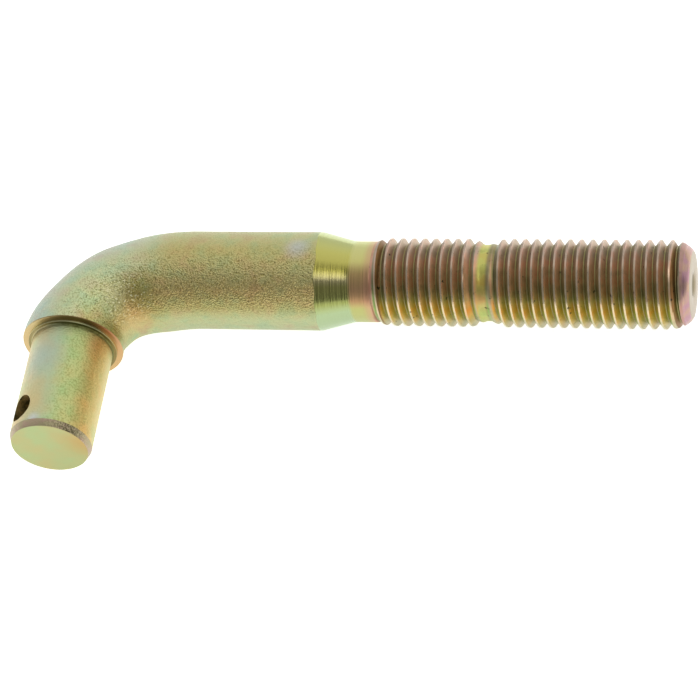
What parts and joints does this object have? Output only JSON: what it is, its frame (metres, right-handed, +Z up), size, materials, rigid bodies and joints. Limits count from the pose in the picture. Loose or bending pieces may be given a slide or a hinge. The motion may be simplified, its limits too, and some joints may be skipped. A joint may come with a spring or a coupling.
{
  "type": "bent threaded pin",
  "caption": "Bent steel pin with a threaded shank, a tapered neck and a short turned leg with a shoulder and a cross hole.",
  "frame": {"origin": "where the leg's axis meets the shoulder face at the leg's root", "axes": "+X along the shank to its threaded tip, +Z up with the pin lying on its side, leg towards -Y, leaning two degrees towards +X"},
  "size_m": [0.1499, 0.0584, 0.0228],
  "materials": {
    "plated_steel": "yellow passivated zinc, satin on the raw bar and bright where turned"
  },
  "bodies": {
    "root": {"bent_pin": "plated_steel"}
  },
  "joints": []
}
